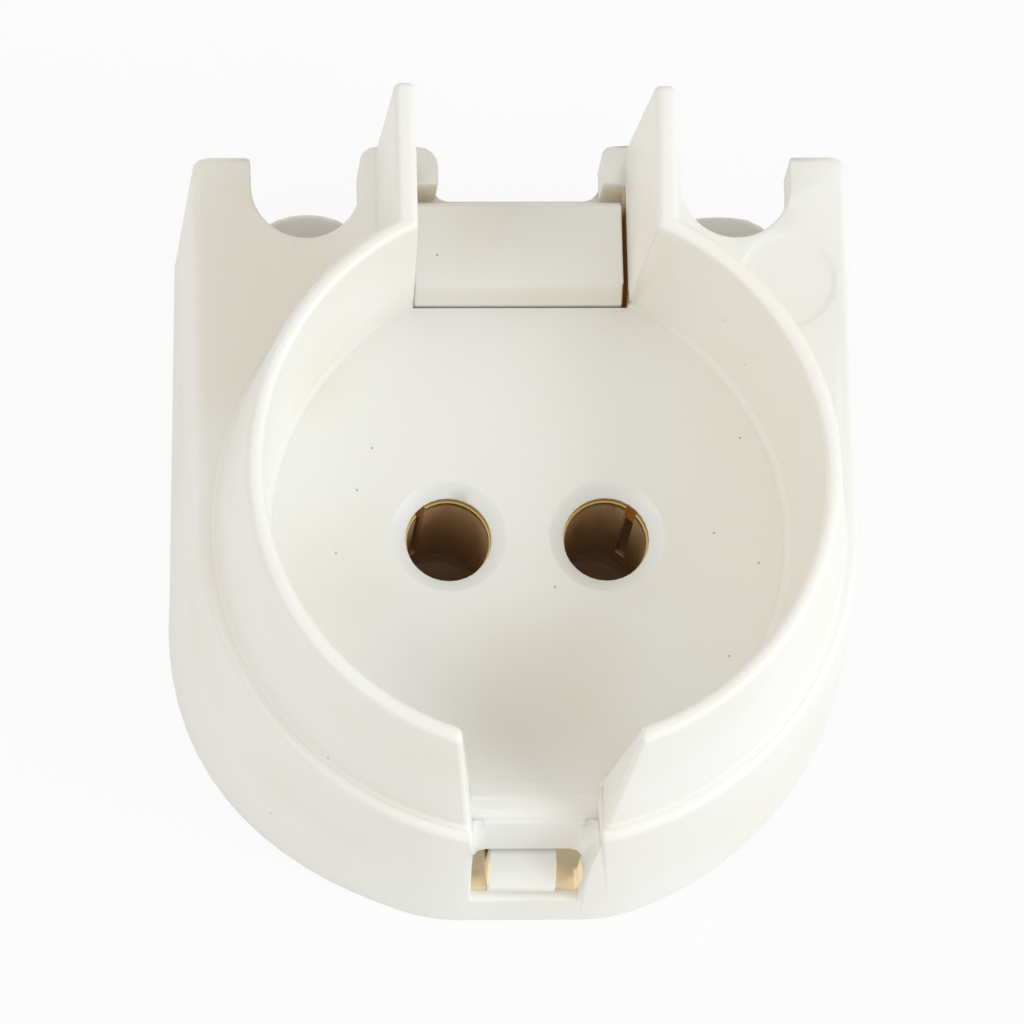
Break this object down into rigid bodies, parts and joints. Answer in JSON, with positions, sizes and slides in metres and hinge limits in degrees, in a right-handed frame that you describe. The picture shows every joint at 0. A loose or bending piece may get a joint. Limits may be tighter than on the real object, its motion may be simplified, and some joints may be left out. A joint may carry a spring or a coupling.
{
  "type": "fluorescent tube lamp holder",
  "caption": "Two-pin push-in holder for the end of a thin fluorescent tube, with an open cup, two ears, a bottom slot and a snap-in rear cover.",
  "frame": {"origin": "on the tube's axis, midway between the two pin holes, in the plane of the rear face", "axes": "+Z along the tube's axis from the rear face out of the cup's mouth, +Y from the bottom slot towards the two ears, +X to the right seen from the front"},
  "size_m": [0.0208, 0.0221, 0.0143],
  "materials": {
    "ivory_plastic": "smooth moulded, slightly glossy",
    "brass": "stamped sheet",
    "spring_steel": "rolled strip"
  },
  "bodies": {
    "root": {"front_housing": "ivory_plastic", "rear_cover": "ivory_plastic", "contact_left": "brass", "contact_right": "brass", "wire_spring_left": "spring_steel", "wire_spring_right": "spring_steel"}
  },
  "joints": []
}
